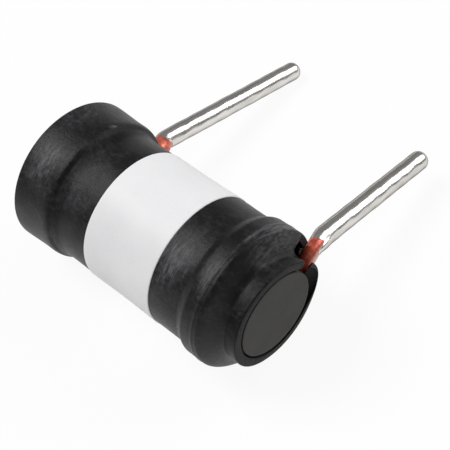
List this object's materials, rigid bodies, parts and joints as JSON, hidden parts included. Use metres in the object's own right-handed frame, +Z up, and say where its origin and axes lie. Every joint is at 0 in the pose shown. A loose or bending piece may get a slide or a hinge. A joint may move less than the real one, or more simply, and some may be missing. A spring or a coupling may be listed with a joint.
{
  "type": "fixed inductor",
  "caption": "Sleeved rod inductor: one layer of thick enamelled wire on a ferrite rod in black shrink tube, with tinned wire ends as radial leads.",
  "frame": {"origin": "on the ground, under the middle of the part's box as it lies", "axes": "+X along the rod towards the end with the narrow lip, +Y towards the lead tips, +Z up"},
  "size_m": [0.0186, 0.0248, 0.0103],
  "materials": {
    "ferrite": "ground ferrite, matt dark grey",
    "enamelled_wire": "copper under clear red enamel, glossy",
    "tin": "dipped tin, bright and uneven",
    "sleeve": "black shrink tube, matt with a soft sheen",
    "band": "bare white film, satin"
  },
  "bodies": {
    "root": {"ferrite_core": "ferrite", "winding": "enamelled_wire", "tin_far": "tin", "tin_near": "tin", "shrink_sleeve": "sleeve", "marking_band": "band"}
  },
  "joints": []
}
